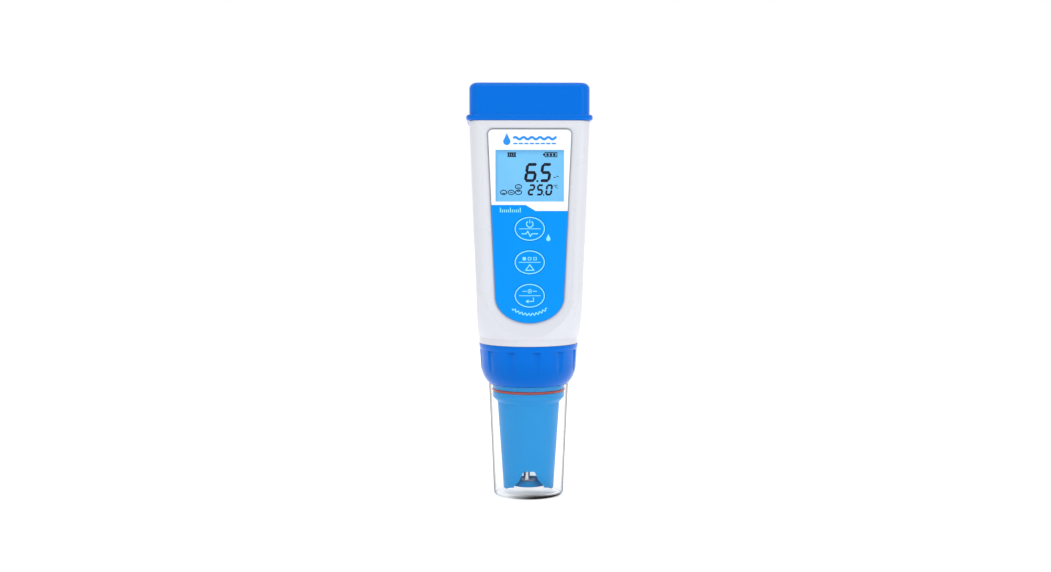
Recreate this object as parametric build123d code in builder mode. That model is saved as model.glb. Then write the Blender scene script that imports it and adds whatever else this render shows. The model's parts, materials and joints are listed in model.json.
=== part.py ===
"""Pocket pH meter: a tapered two-shell case with a display and three keys, a pull-off cap over the
battery bay, a screw-on probe with its fluted lock ring, and a clear storage cap over the probe.

Millimetres. +Z is up, the display faces -Y, and the origin is the centre of the storage cap's base.
"""

import math
import os

from build123d import *

# ---------------------------------------------------------------- driving dimensions
TOTAL_HEIGHT = 170.4

# Case: a tapered rounded box, turned down at the bottom to the circle where the lock ring begins.
CASE_BOTTOM = 64.0
CASE_TOP = 155.1
CASE_BOTTOM_RADIUS = 20.7
CASE_TOP_HALF_X = 24.3
CASE_TOP_HALF_Y = 20.4
CASE_WALL = 2.2
CASE_BOX_HALF = 20.85  # half width and half depth of the box at the bottom
CASE_CORNER = 4.6
TURNED_LOW = 66.6
TURNED_MIDDLE = (24.6, 74.5)
TURNED_HIGH = (28.9, 88.0)
TURNED_CLEAR = 36.0
CAVITY_FLOOR = 72.2
CAVITY_ROOF = 153.0
SEAM_GAP = 0.1

# Neck that the top cap pushes onto.
NECK_TOP = 167.0
NECK_HALF_X = 22.25
NECK_HALF_Y = 18.25
NECK_CORNER = 3.4
NECK_WALL = 2.45
NECK_SEAL_Z = 159.2
SEAL_CORD = 1.5

# Top cap.
CAP_HALF_X = 24.3
CAP_HALF_Y = 20.4
CAP_CORNER = 4.6
CAP_ROOF = 2.4
CAP_EDGE = 2.5
CAP_FIT = 0.2
CAP_LIP_HEIGHT = 2.5
CAP_LIP_X = 1.3
CAP_LIP_Y = 0.3

# Front panel: the film lies on a flat seat, sunk below the front of the case.
SEAT_Y = 19.6
FILM = 0.5
PANEL_TOP = 151.7
PANEL_SHOULDER = 84.2
PANEL_BOTTOM = 73.5
PANEL_TOP_HALF = 16.9
PANEL_LOW_HALF = 13.9
PANEL_CORNER = 2.0
BEVEL_SIDE = 2.8
BEVEL_TOP = 0.9
BEVEL_BOTTOM = 4.0
BEVEL_OUT_Y = 21.4

# Display.
LENS_WIDTH = 27.4
LENS_HEIGHT = 20.6
LENS_Z = 133.0
LCD_BACK = 15.4
BOARD_FRONT = 12.5
BOARD_THICK = 1.6

# Keys: oval caps that travel into the case.
KEY_HALF_X = 6.3
KEY_HALF_Z = 5.0
KEY_GAP = 0.1
KEYS = {"power_key": 111.7, "mode_key": 98.2, "cal_key": 84.7}

# Battery bay: four AAA cells in a square.
CELL_RADIUS = 5.2
CELL_LENGTH = 44.5
CELL_TOP = 163.1
CELL_PITCH = 11.2
CELL_Y = 2.4
NUB_HEIGHT = 0.8
BAY_TOP = 162.8
BAY_BOTTOM = 113.0
CONTACT_LOW_Y = -6.4
CONTACT_HIGH_Y = 11.6

# Threaded spigot, lock ring and probe.
SPIGOT_RADIUS = 15.4
SPIGOT_BORE = 13.3
SPIGOT_BOTTOM = 51.0
THREAD_PITCH = 3.0
THREAD_CREST = 16.5
RING_BOTTOM = 46.9
RING_TOP = 63.9
RING_ROOT = 16.85
RING_CREST = 15.75
RING_LIP = 2.0
RING_WAIST = 19.95
RING_CURVE_TOP = 54.2
FLUTES = 12
FLUTE_PHASE = 8.0
FLUTE_TOP = 61.4
FLUTE_FLOOR = 19.6
FLUTE_ROUND = 2.7
PROBE_NECK = 15.0
PROBE_SEAL_Z = 44.2
PROBE_SEAL_CORD = 1.0
PROBE_GROOVE_DEPTH = 0.75
PROBE_GROOVE_HALF = 0.6
SLEEVE_TOP_RADIUS = 13.0
SLEEVE_TIP_RADIUS = 10.5
SLEEVE_TOP = 39.1
SLEEVE_TIP = 2.65
SLEEVE_WALL = 1.6
SCOOP = 1.9
WINDOW_WAIST = 7.0
WINDOW_TOP = 11.0

# Storage cap.
STORE_TOP = 46.8
STORE_TOP_RADIUS = 16.6
STORE_BASE_RADIUS = 14.5
STORE_FLOOR = 1.6

made = {}


def keep(builder, name):
    """Labels a finished piece and lists it for export."""
    builder.part.label = name
    made[name] = builder.part


def half_x(z):
    """Outer half width of the case at height z."""
    share = (z - CASE_BOTTOM) / (CASE_TOP - CASE_BOTTOM)
    return CASE_BOX_HALF + share * (CASE_TOP_HALF_X - CASE_BOX_HALF)


def half_y(z):
    """Outer half depth of the case at height z."""
    share = (z - CASE_BOTTOM) / (CASE_TOP - CASE_BOTTOM)
    return CASE_BOX_HALF + share * (CASE_TOP_HALF_Y - CASE_BOX_HALF)


def case_shape(low, high, inset, mode=Mode.ADD):
    """The case's outer shape between two heights, moved in by inset."""
    with BuildPart() as shape:
        for z in (low, high):
            with BuildSketch(Plane.XY.offset(z)):
                RectangleRounded(
                    2 * (half_x(z) - inset), 2 * (half_y(z) - inset), CASE_CORNER - inset
                )
        loft(ruled=True)
        with BuildPart(mode=Mode.INTERSECT):
            with BuildSketch(Plane.XZ):
                with BuildLine():
                    Line((CASE_BOTTOM_RADIUS - inset, CASE_BOTTOM), (CASE_BOTTOM_RADIUS - inset, TURNED_LOW))
                    ThreePointArc(
                        (CASE_BOTTOM_RADIUS - inset, TURNED_LOW),
                        (TURNED_MIDDLE[0] - inset, TURNED_MIDDLE[1]),
                        (TURNED_HIGH[0] - inset, TURNED_HIGH[1]),
                    )
                    Polyline(
                        (TURNED_HIGH[0] - inset, TURNED_HIGH[1]),
                        (TURNED_CLEAR, CASE_TOP - 1),
                        (TURNED_CLEAR, CASE_TOP + 1),
                        (0, CASE_TOP + 1),
                        (0, CASE_BOTTOM),
                        (CASE_BOTTOM_RADIUS - inset, CASE_BOTTOM),
                    )
                make_face()
            revolve(axis=Axis.Z)
    add(shape.part, mode=mode)


def panel_half(z):
    """Half width of the front film at height z."""
    share = (z - PANEL_SHOULDER) / (PANEL_TOP - PANEL_SHOULDER)
    return PANEL_LOW_HALF + share * (PANEL_TOP_HALF - PANEL_LOW_HALF)


def front_plane(depth):
    """A plane that faces -Y at y = -depth, with its own x and y along X and Z."""
    return Plane.XZ.offset(depth)


def panel_outline(side, top, bottom):
    """The film's outline, grown by the given amounts: tapered sides over a half ellipse."""
    low = panel_half(PANEL_SHOULDER) + side
    high = panel_half(PANEL_TOP) + side
    drop = PANEL_SHOULDER - PANEL_BOTTOM + bottom
    with BuildSketch() as outline:
        with BuildLine():
            FilletPolyline(
                (-low, PANEL_SHOULDER),
                (-high, PANEL_TOP + top),
                (high, PANEL_TOP + top),
                (low, PANEL_SHOULDER),
                radius=PANEL_CORNER + side / 2,
            )
            EllipticalCenterArc((0, PANEL_SHOULDER), low, drop, start_angle=180, arc_size=180)
        make_face()
    add(outline.sketch)


def rod_along_y(x, z, radius, y_from, y_to, mode=Mode.ADD):
    """A round rod or hole along Y."""
    with BuildPart() as rod:
        with BuildSketch(Plane.XZ.offset(-y_from)):
            with Locations((x, z)):
                Circle(radius)
        extrude(amount=-(y_to - y_from))
    add(rod.part, mode=mode)


def rod_along_z(x, y, radius, z_from, z_to, mode=Mode.ADD):
    """A round rod or hole along Z."""
    with BuildPart() as rod:
        with BuildSketch(Plane.XY.offset(z_from)):
            with Locations((x, y)):
                Circle(radius)
        extrude(amount=z_to - z_from)
    add(rod.part, mode=mode)


def block(x_range, y_range, z_range, mode=Mode.ADD):
    """A rectangular block between two corners."""
    with BuildPart() as box:
        with BuildSketch(Plane.XY.offset(z_range[0])):
            with Locations(((x_range[0] + x_range[1]) / 2, (y_range[0] + y_range[1]) / 2)):
                Rectangle(x_range[1] - x_range[0], y_range[1] - y_range[0])
        extrude(amount=z_range[1] - z_range[0])
    add(box.part, mode=mode)


def turned(*points, mode=Mode.ADD):
    """A solid of revolution about Z from (radius, height) points."""
    with BuildPart() as solid:
        with BuildSketch(Plane.XZ):
            with BuildLine():
                Polyline(*points, close=True)
            make_face()
        revolve(axis=Axis.Z)
    add(solid.part, mode=mode)


def cord_ring(radius, z, cord):
    """A round seal of the given cord thickness, centred on Z."""
    with BuildPart() as seal:
        with BuildSketch(Plane.XZ):
            with Locations((radius, z)):
                Circle(cord / 2)
        revolve(axis=Axis.Z)
    add(seal.part)


def thread_ridge(root_radius, crest_radius, z_start, turns, root_width, crest_width):
    """A helical ridge from root_radius to crest_radius, made as a solid of its own."""
    with BuildPart() as ridge:
        with BuildLine() as helix:
            Helix(pitch=THREAD_PITCH, height=turns * THREAD_PITCH, radius=root_radius)
        with BuildSketch(Plane.XZ):
            with BuildLine():
                Polyline(
                    (root_radius, -root_width / 2),
                    (crest_radius, -crest_width / 2),
                    (crest_radius, crest_width / 2),
                    (root_radius, root_width / 2),
                    close=True,
                )
            make_face()
        sweep(path=helix.line, is_frenet=True)
    return ridge.part.moved(Location((0, 0, z_start)))


# ---------------------------------------------------------------- case shells
BOSSES = [(17.3, 147.0, 3.0), (16.6, 88.0, 2.9)]  # x, z, radius of the screw bosses, on both sides
BOARD_POSTS = [(10.5, 79.5), (10.5, 116.5)]
SCREW_HEAD_Y = 11.0

with BuildPart() as case_body:
    case_shape(CASE_BOTTOM, CASE_TOP, 0)
    with BuildSketch(Plane.XY.offset(CASE_TOP)):
        RectangleRounded(2 * NECK_HALF_X, 2 * NECK_HALF_Y, NECK_CORNER)
    extrude(amount=NECK_TOP - CASE_TOP)
    # Groove for the top cap's seal.
    with BuildSketch(Plane.XY.offset(NECK_SEAL_Z - SEAL_CORD / 2 - 0.05)):
        RectangleRounded(2 * NECK_HALF_X + 2, 2 * NECK_HALF_Y + 2, NECK_CORNER + 1)
        RectangleRounded(
            2 * (NECK_HALF_X - SEAL_CORD + 0.15),
            2 * (NECK_HALF_Y - SEAL_CORD + 0.15),
            NECK_CORNER - SEAL_CORD + 0.15,
            mode=Mode.SUBTRACT,
        )
    extrude(amount=SEAL_CORD + 0.1, mode=Mode.SUBTRACT)
    # Main cavity, the neck's opening, and the bores that hold the spigot.
    case_shape(CAVITY_FLOOR, CAVITY_ROOF, CASE_WALL, mode=Mode.SUBTRACT)
    with BuildSketch(Plane.XY.offset(CAVITY_ROOF - 1)):
        RectangleRounded(
            2 * (NECK_HALF_X - NECK_WALL), 2 * (NECK_HALF_Y - NECK_WALL), NECK_CORNER - NECK_WALL
        )
    extrude(amount=NECK_TOP - CAVITY_ROOF + 1, mode=Mode.SUBTRACT)
    rod_along_z(0, 0, SPIGOT_RADIUS + 0.2, CASE_BOTTOM, 68.0, mode=Mode.SUBTRACT)
    rod_along_z(0, 0, 18.2, 68.0, 70.6, mode=Mode.SUBTRACT)
    rod_along_z(0, 0, SPIGOT_RADIUS + 0.2, 70.6, CAVITY_FLOOR + 1, mode=Mode.SUBTRACT)
    # Sunk front: a flat seat for the film with a sloped border, widest at the bottom.
    with BuildSketch(front_plane(SEAT_Y)):
        panel_outline(0.1, 0.1, 0.1)
    with BuildSketch(front_plane(BEVEL_OUT_Y)):
        panel_outline(2 * BEVEL_SIDE, 2 * BEVEL_TOP, 2 * BEVEL_BOTTOM)
    loft(mode=Mode.SUBTRACT)

# Screw bosses, cut off where they reach the outside of the case.
with BuildPart() as boss_rods:
    for side in (-1, 1):
        for x, z, radius in BOSSES:
            rod_along_y(side * x, z, radius, -SEAT_Y + 0.8, -SEAM_GAP / 2)
            rod_along_y(side * x, z, radius + 0.6, SEAM_GAP / 2, SEAT_Y - 0.8)
    case_shape(CASE_BOTTOM, CASE_TOP, 0.6, mode=Mode.INTERSECT)

with BuildPart() as front_case:
    add(case_body.part)
    add(boss_rods.part)
    split(bisect_by=Plane.XZ.offset(SEAM_GAP / 2), keep=Keep.TOP)
    for side in (-1, 1):
        for x, z, radius in BOSSES:
            rod_along_y(side * x, z, 0.95, -12.0, 0, mode=Mode.SUBTRACT)
        for x, z in BOARD_POSTS:
            rod_along_y(side * x, z, 2.2, -SEAT_Y + 0.8, -BOARD_FRONT)
            rod_along_y(side * x, z, 0.8, -17.0, -BOARD_FRONT + 1, mode=Mode.SUBTRACT)
    # Window for the display and holes for the keys.
    block(
        (-LENS_WIDTH / 2 - 0.05, LENS_WIDTH / 2 + 0.05),
        (-25, -15),
        (LENS_Z - LENS_HEIGHT / 2 - 0.05, LENS_Z + LENS_HEIGHT / 2 + 0.05),
        mode=Mode.SUBTRACT,
    )
    for z in KEYS.values():
        with BuildSketch(front_plane(15)):
            with Locations((0, z)):
                Ellipse(KEY_HALF_X + KEY_GAP, KEY_HALF_Z + KEY_GAP)
        extrude(amount=10, mode=Mode.SUBTRACT)
keep(front_case, "front_case")

LABEL_HALF_X = 12.5
LABEL_LOW = 92.0
LABEL_HIGH = 138.0
LABEL_Y = 20.1

with BuildPart() as rear_case:
    add(case_body.part)
    add(boss_rods.part)
    split(bisect_by=Plane.XZ.offset(-SEAM_GAP / 2), keep=Keep.BOTTOM)
    for side in (-1, 1):
        for x, z, radius in BOSSES:
            rod_along_y(side * x, z, 1.25, 0, 25, mode=Mode.SUBTRACT)
            rod_along_y(side * x, z, 2.6, SCREW_HEAD_Y, 25, mode=Mode.SUBTRACT)
    # Shallow pocket for the rating label.
    block(
        (-LABEL_HALF_X - 0.2, LABEL_HALF_X + 0.2),
        (LABEL_Y, 25),
        (LABEL_LOW - 0.2, LABEL_HIGH + 0.2),
        mode=Mode.SUBTRACT,
    )
    # Two tabs inside the neck that hold the battery door down.
    for side in (-1, 1):
        low, high = sorted((side * 16.6, side * 20.2))
        block((low, high), (3.0, 6.4), (165.8, NECK_TOP))
keep(rear_case, "rear_case")

with BuildPart() as case_gasket:
    for side in (-1, 1):
        with BuildSketch(Plane.XZ):
            with BuildLine():
                Polyline(
                    (side * (half_x(75) - 0.7), 75),
                    (side * (half_x(150) - 0.7), 150),
                    (side * (half_x(150) - 1.6), 150),
                    (side * (half_x(75) - 1.6), 75),
                    close=True,
                )
            make_face()
        extrude(amount=SEAM_GAP / 2, both=True)
keep(case_gasket, "case_gasket")

with BuildPart() as case_screws:
    for side in (-1, 1):
        for x, z, _ in BOSSES:
            rod_along_y(side * x, z, 0.9, -9.0, SCREW_HEAD_Y + 0.1)
            rod_along_y(side * x, z, 2.35, SCREW_HEAD_Y, SCREW_HEAD_Y + 1.8)
            with BuildSketch(Plane.XZ.offset(-(SCREW_HEAD_Y + 1.8))):
                with Locations((side * x, z)):
                    Rectangle(2.8, 0.6)
                    Rectangle(0.6, 2.8)
            extrude(amount=1.1, mode=Mode.SUBTRACT)
keep(case_screws, "case_screws")

with BuildPart() as rear_label:
    with BuildSketch(Plane.XZ.offset(-(LABEL_Y + 0.3))):
        with Locations((0, (LABEL_LOW + LABEL_HIGH) / 2)):
            RectangleRounded(2 * LABEL_HALF_X, LABEL_HIGH - LABEL_LOW, 2.0)
    extrude(amount=0.3)
keep(rear_label, "rear_label")

# ---------------------------------------------------------------- top cap and its seal
with BuildPart() as top_cap:
    with BuildSketch(Plane.XY.offset(CASE_TOP + 0.1)):
        RectangleRounded(2 * CAP_HALF_X, 2 * CAP_HALF_Y, CAP_CORNER)
    extrude(amount=TOTAL_HEIGHT - CASE_TOP - 0.1)
    fillet(top_cap.faces().sort_by(Axis.Z)[-1].edges(), CAP_EDGE)
    with BuildPart(mode=Mode.PRIVATE) as lip:
        with BuildSketch(Plane.XY.offset(CASE_TOP + 0.1)):
            RectangleRounded(
                2 * (CAP_HALF_X + CAP_LIP_X), 2 * (CAP_HALF_Y + CAP_LIP_Y), CAP_CORNER + CAP_LIP_Y
            )
        extrude(amount=CAP_LIP_HEIGHT)
        lip_edges = lip.edges().filter_by(GeomType.LINE).filter_by(Axis.Y)
        lip_edges = lip_edges + lip.edges().filter_by(GeomType.CIRCLE)
        lip_edges = lip_edges + lip.edges().filter_by(GeomType.LINE).filter_by(Axis.X)
        fillet(lip_edges, 1.1)
    add(lip.part)
    with BuildSketch(Plane.XY.offset(CASE_TOP)):
        RectangleRounded(
            2 * (NECK_HALF_X + CAP_FIT), 2 * (NECK_HALF_Y + CAP_FIT), NECK_CORNER + CAP_FIT
        )
    extrude(amount=TOTAL_HEIGHT - CAP_ROOF - CASE_TOP, mode=Mode.SUBTRACT)
keep(top_cap, "top_cap")

with BuildPart() as cap_seal:
    seal_x = NECK_HALF_X + 0.1
    seal_y = NECK_HALF_Y + 0.1
    with BuildSketch(Plane.XY.offset(NECK_SEAL_Z - SEAL_CORD / 2)):
        RectangleRounded(2 * seal_x, 2 * seal_y, NECK_CORNER + 0.1)
        RectangleRounded(
            2 * (seal_x - SEAL_CORD + 0.1),
            2 * (seal_y - SEAL_CORD + 0.1),
            NECK_CORNER + 0.2 - SEAL_CORD,
            mode=Mode.SUBTRACT,
        )
    extrude(amount=SEAL_CORD)
    fillet(cap_seal.faces().filter_by(Plane.XY).edges(), 0.45)
keep(cap_seal, "cap_seal")

# ---------------------------------------------------------------- front film, lens and keys
with BuildPart() as front_film:
    with BuildSketch(front_plane(SEAT_Y)):
        panel_outline(0, 0, 0)
        with Locations((0, LENS_Z)):
            Rectangle(LENS_WIDTH + 0.1, LENS_HEIGHT + 0.1, mode=Mode.SUBTRACT)
        with Locations(*[(0, z) for z in KEYS.values()]):
            Ellipse(KEY_HALF_X + KEY_GAP, KEY_HALF_Z + KEY_GAP, mode=Mode.SUBTRACT)
    extrude(amount=FILM)
keep(front_film, "front_film")

with BuildPart() as display_lens:
    with BuildSketch(front_plane(17.8)):
        with Locations((0, LENS_Z)):
            Rectangle(LENS_WIDTH, LENS_HEIGHT)
    extrude(amount=SEAT_Y + FILM - 17.8 - 0.1)
keep(display_lens, "display_lens")

for name, z in KEYS.items():
    with BuildPart() as key:
        with BuildSketch(front_plane(18.0)):
            with Locations((0, z)):
                Ellipse(KEY_HALF_X, KEY_HALF_Z)
        extrude(amount=SEAT_Y + FILM - 18.0 + 0.1)
        fillet(key.faces().sort_by(Axis.Y)[0].edges(), 0.2)
        with BuildSketch(front_plane(17.2)):
            with Locations((0, z)):
                Ellipse(KEY_HALF_X + 0.8, KEY_HALF_Z + 0.8)
        extrude(amount=0.9)
        rod_along_y(0, z, 1.6, -17.3, -15.15)
    keep(key, name)

# ---------------------------------------------------------------- display module and board
with BuildPart() as lcd_glass:
    block((-14.1, 14.1), (-17.7, -LCD_BACK), (119.5, 146.5))
    chamfer(lcd_glass.edges().filter_by(Axis.Y), 0.6)
keep(lcd_glass, "lcd_glass")

with BuildPart() as lcd_backlight:
    block((-13.9, 13.9), (-LCD_BACK + 0.05, -BOARD_FRONT - 0.2), (122.2, 143.8))
    block((-1.2, 1.2), (-BOARD_FRONT - 0.25, -BOARD_FRONT - 0.02), (124.0, 142.0))
keep(lcd_backlight, "lcd_backlight")

with BuildPart() as zebra_strips:
    for low in (119.8, 144.2):
        block((-13.0, 13.0), (-LCD_BACK + 0.05, -BOARD_FRONT - 0.02), (low, low + 2.0))
keep(zebra_strips, "zebra_strips")

with BuildPart() as main_board:
    block((-13.4, 13.4), (-BOARD_FRONT, -BOARD_FRONT + BOARD_THICK), (77.0, 148.5))
    fillet(main_board.edges().filter_by(Axis.Y), 1.5)
    for side in (-1, 1):
        for x, z in BOARD_POSTS:
            rod_along_y(side * x, z, 1.1, -14, -8, mode=Mode.SUBTRACT)
keep(main_board, "main_board")

BOARD_BACK = -BOARD_FRONT + BOARD_THICK
CHIPS = [(0, 104, 7, 7, 1.2), (-6.5, 92, 4, 5, 1.2), (6.0, 90, 5, 4, 1.2), (7.5, 103, 2.2, 3.4, 0.9)]
with BuildPart() as board_chips:
    for x, z, wide, tall, thick in CHIPS:
        block(
            (x - wide / 2, x + wide / 2),
            (BOARD_BACK, BOARD_BACK + thick),
            (z - tall / 2, z + tall / 2),
        )
keep(board_chips, "board_chips")

with BuildPart() as buzzer:
    rod_along_y(-7.8, 100.0, 3.4, BOARD_BACK, BOARD_BACK + 3.0)
    rod_along_y(-7.8, 100.0, 0.7, BOARD_BACK + 2.0, BOARD_BACK + 4.0, mode=Mode.SUBTRACT)
keep(buzzer, "buzzer")

with BuildPart() as key_switches:
    for z in KEYS.values():
        block((-2.4, 2.4), (-BOARD_FRONT - 1.5, -BOARD_FRONT), (z - 2.4, z + 2.4))
        rod_along_y(0, z, 1.2, -BOARD_FRONT - 2.1, -BOARD_FRONT - 1.4)
keep(key_switches, "key_switches")

with BuildPart() as board_screws:
    for side in (-1, 1):
        for x, z in BOARD_POSTS:
            rod_along_y(side * x, z, 0.75, -16.5, BOARD_BACK + 0.1)
            rod_along_y(side * x, z, 1.9, BOARD_BACK, BOARD_BACK + 1.2)
            with BuildSketch(Plane.XZ.offset(-(BOARD_BACK + 1.2))):
                with Locations((side * x, z)):
                    Rectangle(2.2, 0.5)
                    Rectangle(0.5, 2.2)
            extrude(amount=0.7, mode=Mode.SUBTRACT)
keep(board_screws, "board_screws")

# ---------------------------------------------------------------- battery bay
cell_places = [
    (column * CELL_PITCH / 2, CELL_Y + row * CELL_PITCH / 2) for row in (-1, 1) for column in (-1, 1)
]
CELL_BOTTOM = CELL_TOP - CELL_LENGTH

with BuildPart() as battery_bay:
    block((-12.4, 12.4), (-9.4, 14.2), (BAY_BOTTOM, BAY_TOP))
    fillet(battery_bay.edges().filter_by(Axis.Z), 3.0)
    with BuildSketch(Plane.XY.offset(BAY_TOP - 1.6)):
        RectangleRounded(2 * 19.7, 2 * 15.7, 2.6)
    extrude(amount=1.6)
    for x, y in cell_places:
        rod_along_z(x, y, CELL_RADIUS + 0.2, BAY_BOTTOM + 1.6, BAY_TOP, mode=Mode.SUBTRACT)
keep(battery_bay, "battery_bay")

for number, (x, y) in enumerate(cell_places, start=1):
    with BuildPart() as cell:
        rod_along_z(x, y, CELL_RADIUS, CELL_BOTTOM, CELL_TOP - NUB_HEIGHT)
        fillet(cell.edges().filter_by(GeomType.CIRCLE), 0.4)
        rod_along_z(x, y, 1.9, CELL_TOP - NUB_HEIGHT - 0.2, CELL_TOP)
    keep(cell, f"aaa_cell_{number}")

SPRING_WIRE = 0.35
SPRING_TURNS = 3
with BuildPart() as cell_springs:
    spring_height = CELL_BOTTOM - BAY_BOTTOM - 1.6 - 2 * SPRING_WIRE - 0.1
    with BuildLine() as coil:
        Helix(pitch=spring_height / SPRING_TURNS, height=spring_height, radius=3.2)
    with BuildSketch(Plane.XZ):
        with Locations((3.2, 0)):
            Circle(SPRING_WIRE)
    sweep(path=coil.line, is_frenet=True)
spring = cell_springs.part
with BuildPart() as cell_springs:
    with Locations(*[(x, y, BAY_BOTTOM + 1.65 + SPRING_WIRE) for x, y in cell_places]):
        add(spring)
keep(cell_springs, "cell_springs")

with BuildPart() as door_gasket:
    with BuildSketch(Plane.XY.offset(BAY_TOP)):
        with Locations((0, 1.9)):
            RectangleRounded(33.6, 26.6, 3.0)
            RectangleRounded(30.8, 24.2, 1.8, mode=Mode.SUBTRACT)
    extrude(amount=1.0)
keep(door_gasket, "door_gasket")

with BuildPart() as battery_door:
    with BuildSketch(Plane.XY.offset(BAY_TOP + 1.05)):
        with Locations((0, 1.6)):
            RectangleRounded(38.4, 27.2, 2.4)
        for side in (-1, 1):
            with Locations((side * 18.4, 8.2)):
                Rectangle(4.0, 4.0, mode=Mode.SUBTRACT)
    extrude(amount=1.8)
    # Raised thumb ribs and an arrow that shows the way it slides.
    with BuildSketch(Plane.XY.offset(BAY_TOP + 2.85)):
        for step in range(4):
            with Locations((0, 11.5 - 1.8 * step)):
                SlotOverall(16, 0.9)
        with Locations((0, -3.0)):
            Rectangle(2.4, 5.0)
        with BuildLine():
            Polyline((-3.2, -5.4), (3.2, -5.4), (0, -9.4), close=True)
        make_face()
    extrude(amount=0.5)
keep(battery_door, "battery_door")

with BuildPart() as door_contacts:
    for side in (-1, 1):
        middle = side * CELL_PITCH / 2
        block((middle - 3.6, middle + 3.6), (CONTACT_LOW_Y, CONTACT_HIGH_Y), (163.25, 163.8))
keep(door_contacts, "door_contacts")

# ---------------------------------------------------------------- spigot, its seal and the socket
with BuildPart() as spigot:
    turned(
        (SPIGOT_BORE, SPIGOT_BOTTOM),
        (SPIGOT_RADIUS, SPIGOT_BOTTOM),
        (SPIGOT_RADIUS, 65.0),
        (SPIGOT_RADIUS - 1.1, 65.0),
        (SPIGOT_RADIUS - 1.1, 66.6),
        (SPIGOT_RADIUS, 66.6),
        (SPIGOT_RADIUS, 68.1),
        (18.0, 68.1),
        (18.0, 70.4),
        (SPIGOT_RADIUS, 70.4),
        (SPIGOT_RADIUS, 73.5),
        (SPIGOT_BORE, 73.5),
    )
    add(thread_ridge(SPIGOT_RADIUS - 0.15, THREAD_CREST, 52.6, 3.0, 1.6, 0.8))
keep(spigot, "spigot")

with BuildPart() as spigot_seal:
    cord_ring(SPIGOT_RADIUS - 0.45, 65.8, 1.2)
keep(spigot_seal, "spigot_seal")

PIN_COUNT = 6
PIN_CIRCLE = 5.2
with BuildPart() as meter_socket:
    turned((0, 60.4), (SPIGOT_BORE - 0.1, 60.4), (SPIGOT_BORE - 0.1, 69.0), (0, 69.0))
    with BuildSketch(Plane.XY.offset(60.4)):
        with PolarLocations(PIN_CIRCLE, PIN_COUNT):
            Circle(0.95)
    extrude(amount=8.6, mode=Mode.SUBTRACT)
keep(meter_socket, "meter_socket")

CONTACT_TOP = 69.6
with BuildPart() as socket_contacts:
    with BuildSketch(Plane.XY.offset(61.0)):
        with PolarLocations(PIN_CIRCLE, PIN_COUNT):
            Circle(0.94)
    extrude(amount=CONTACT_TOP - 61.0)
    with BuildSketch(Plane.XY.offset(61.0)):
        with PolarLocations(PIN_CIRCLE, PIN_COUNT):
            Circle(0.62)
    extrude(amount=CONTACT_TOP - 62.0, mode=Mode.SUBTRACT)
keep(socket_contacts, "socket_contacts")

# One lead from each contact to the plug on the board. The rear ones pass over the front ones.
LEAD_RADIUS = 0.45
LEAD_Y = -9.4
LEAD_PLUG_Z = 81.0
with BuildPart() as signal_leads:
    for number, turn in enumerate((0, 60, -60, -120, 120, 180)):
        start_x = PIN_CIRCLE * math.cos(math.radians(turn))
        start_y = PIN_CIRCLE * math.sin(math.radians(turn))
        rise = 76.6 if start_y > 1 else 73.2
        board_x = 5.5 - 2.2 * number
        with BuildLine() as route:
            FilletPolyline(
                (start_x, start_y, CONTACT_TOP),
                (start_x, start_y, rise),
                (board_x, LEAD_Y, rise + 1.0),
                (board_x, LEAD_Y, LEAD_PLUG_Z),
                radius=1.4,
            )
        with BuildSketch(Plane(origin=(start_x, start_y, CONTACT_TOP))):
            Circle(LEAD_RADIUS)
        sweep(path=route.line)
keep(signal_leads, "signal_leads")

with BuildPart() as lead_plug:
    block((-7.0, 7.0), (BOARD_BACK, BOARD_BACK + 3.2), (LEAD_PLUG_Z, LEAD_PLUG_Z + 4.5))
    block((-6.0, 6.0), (BOARD_BACK + 2.6, BOARD_BACK + 4), (83.2, 84.6), mode=Mode.SUBTRACT)
keep(lead_plug, "lead_plug")

# ---------------------------------------------------------------- lock ring
with BuildPart() as lock_ring:
    with BuildSketch(Plane.XZ):
        with BuildLine():
            # The outside curves in towards the storage cap's rim.
            ThreePointArc((STORE_TOP_RADIUS, RING_BOTTOM), (18.6, 49.6), (RING_WAIST, RING_CURVE_TOP))
            Polyline(
                (RING_WAIST, RING_CURVE_TOP),
                (20.35, FLUTE_TOP),
                (CASE_BOTTOM_RADIUS, FLUTE_TOP + 1.2),
                (CASE_BOTTOM_RADIUS, RING_TOP),
                (RING_ROOT, RING_TOP),
                (RING_ROOT, RING_BOTTOM + RING_LIP),
                (PROBE_NECK + 0.15, RING_BOTTOM + RING_LIP),
                (PROBE_NECK + 0.15, RING_BOTTOM),
                (STORE_TOP_RADIUS, RING_BOTTOM),
            )
        make_face()
    revolve(axis=Axis.Z)
    # Shallow round-bottomed flutes for the fingers, which run out into the curve.
    with BuildSketch(Plane.XY.offset(RING_BOTTOM)):
        with PolarLocations(FLUTE_FLOOR + FLUTE_ROUND, FLUTES, start_angle=FLUTE_PHASE - 90):
            Circle(FLUTE_ROUND)
    extrude(amount=FLUTE_TOP - RING_BOTTOM, mode=Mode.SUBTRACT)
    add(thread_ridge(RING_ROOT + 0.15, RING_CREST, 54.0 + THREAD_PITCH / 2 - 1.4, 2.4, 1.6, 0.8))
keep(lock_ring, "lock_ring")

# ---------------------------------------------------------------- probe
def sleeve_radius(z):
    """Outer radius of the tapered sleeve at height z."""
    share = (z - SLEEVE_TIP) / (SLEEVE_TOP - SLEEVE_TIP)
    return SLEEVE_TIP_RADIUS + share * (SLEEVE_TOP_RADIUS - SLEEVE_TIP_RADIUS)


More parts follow.
